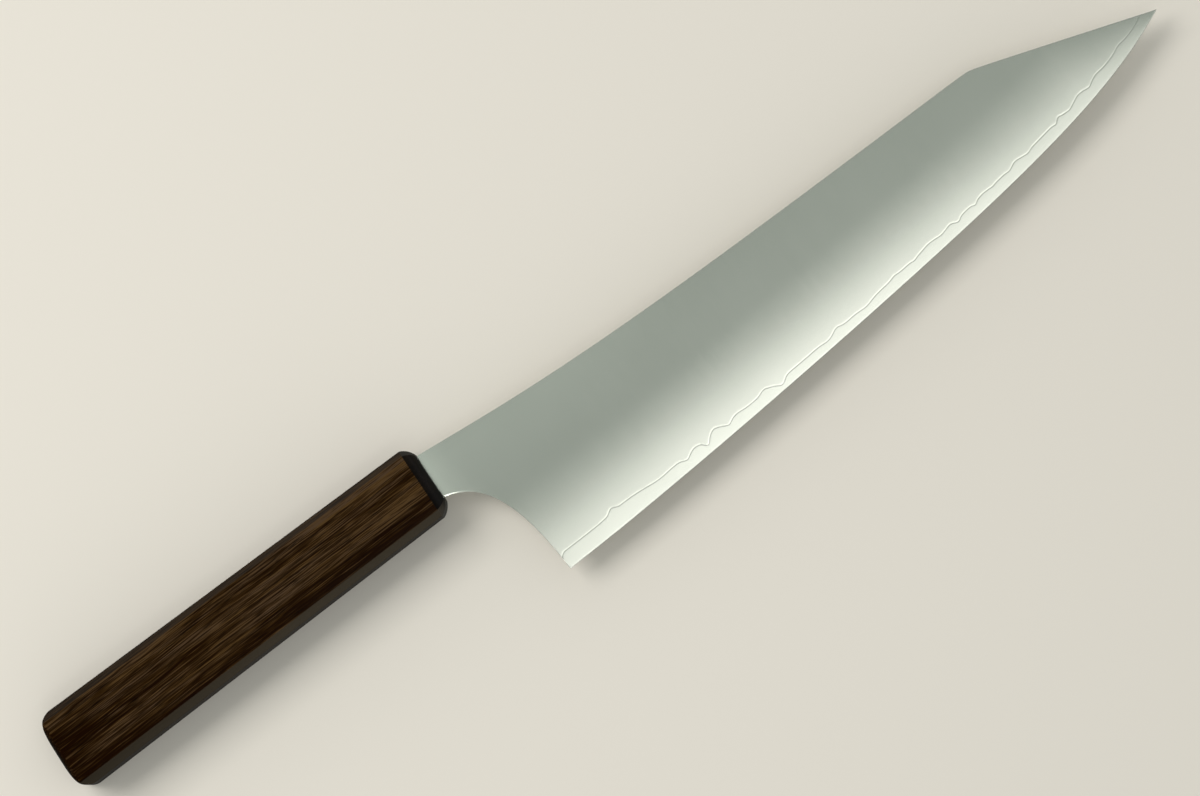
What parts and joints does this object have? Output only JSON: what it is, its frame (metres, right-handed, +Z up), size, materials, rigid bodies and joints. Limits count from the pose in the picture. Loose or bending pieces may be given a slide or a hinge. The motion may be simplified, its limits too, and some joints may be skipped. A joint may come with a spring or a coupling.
{
  "type": "gyuto knife",
  "caption": "Broad kitchen knife with a clipped tip: a three-layer steel blade on a hidden tang in a one-piece octagonal wooden handle, for slicing and chopping.",
  "frame": {"origin": "under the middle of the knife's outline, level with the lowest point of the handle, with the knife lying on its left side", "axes": "+X from the handle to the tip, +Y from the edge to the spine, +Z up out of the blade's right face"},
  "size_m": [0.3952, 0.0592, 0.0202],
  "materials": {
    "core_steel": "bright satin",
    "cladding_steel": "fine satin",
    "handle_wood": "dark stain under clear lacquer",
    "bedding_resin": "cured dark resin"
  },
  "bodies": {
    "root": {"core_steel": "core_steel", "right_cladding": "cladding_steel", "left_cladding": "cladding_steel", "handle": "handle_wood", "tang_bedding": "bedding_resin"}
  },
  "joints": []
}
